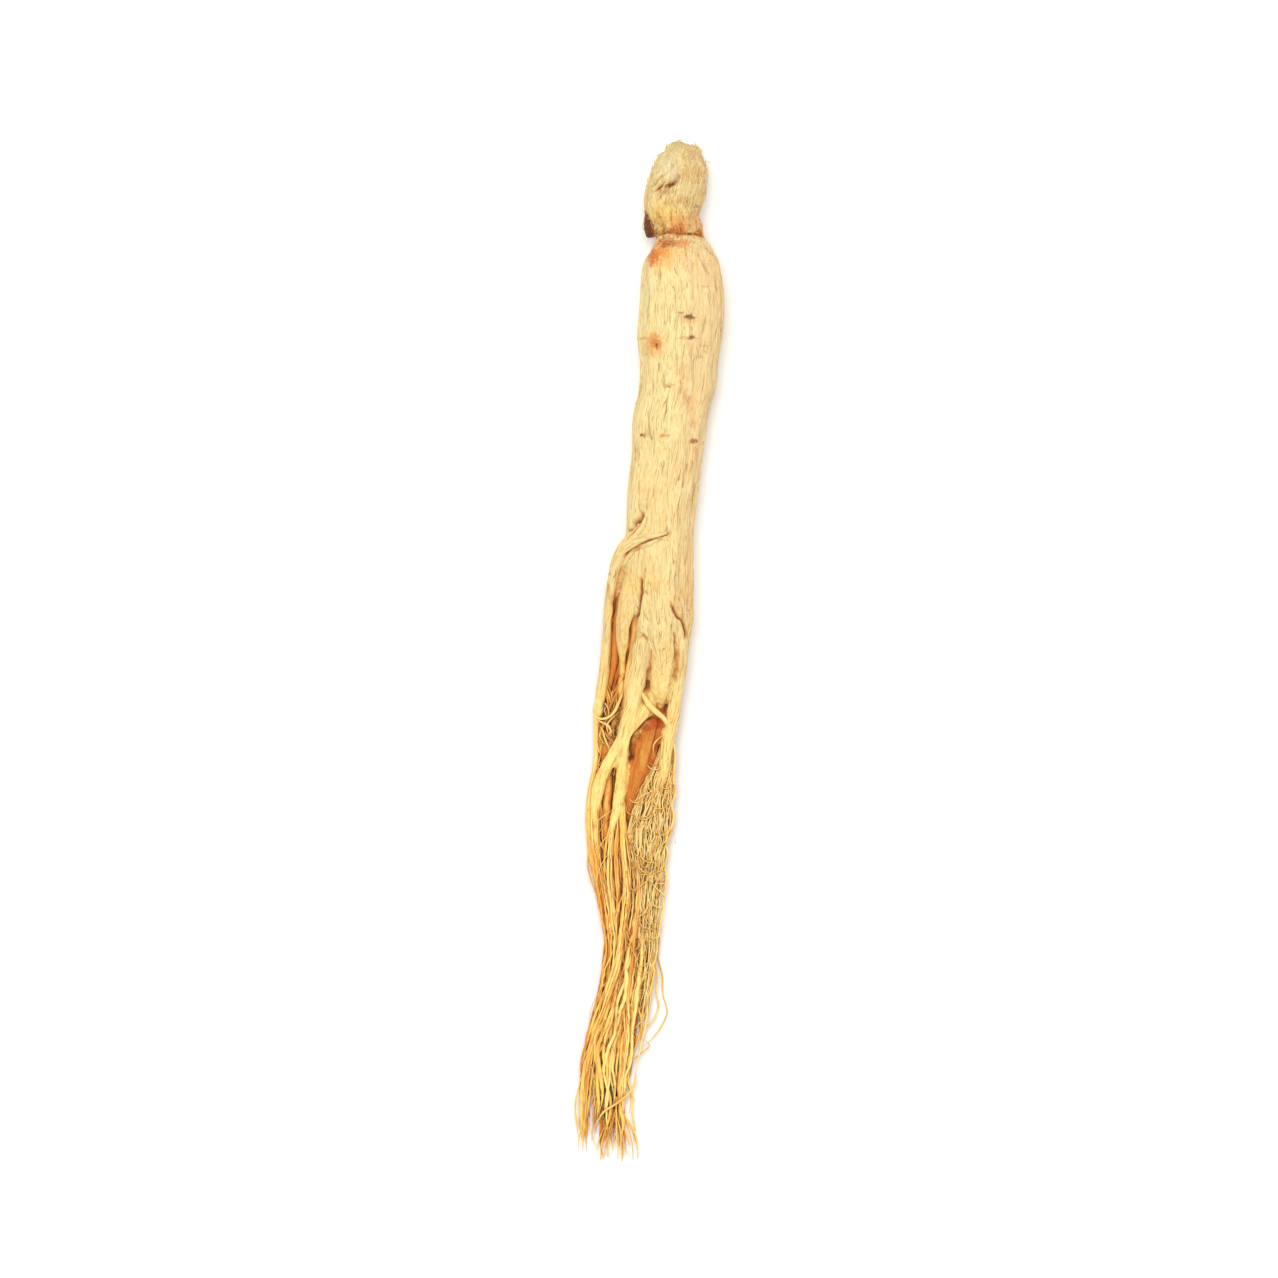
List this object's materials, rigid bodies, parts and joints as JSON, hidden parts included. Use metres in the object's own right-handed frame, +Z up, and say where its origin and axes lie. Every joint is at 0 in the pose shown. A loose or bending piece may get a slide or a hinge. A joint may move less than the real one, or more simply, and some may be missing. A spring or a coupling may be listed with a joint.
{
  "type": "dried ginseng root",
  "caption": "Dried ginseng root lying on its back: knobbly head, tapering furrowed main root, and legs that fray into a tail of fine rootlets.",
  "frame": {"origin": "on the surface the root lies on, under the middle of its box", "axes": "+Y along the root towards its head, +Z up from the surface to the face that is seen, +X across it"},
  "size_m": [0.0453, 0.3022, 0.0215],
  "materials": {
    "root_skin": "matte dried root skin, pale straw yellow, with orange-brown creases and golden rootlets"
  },
  "bodies": {
    "root": {"ginseng_root": "root_skin"}
  },
  "joints": []
}
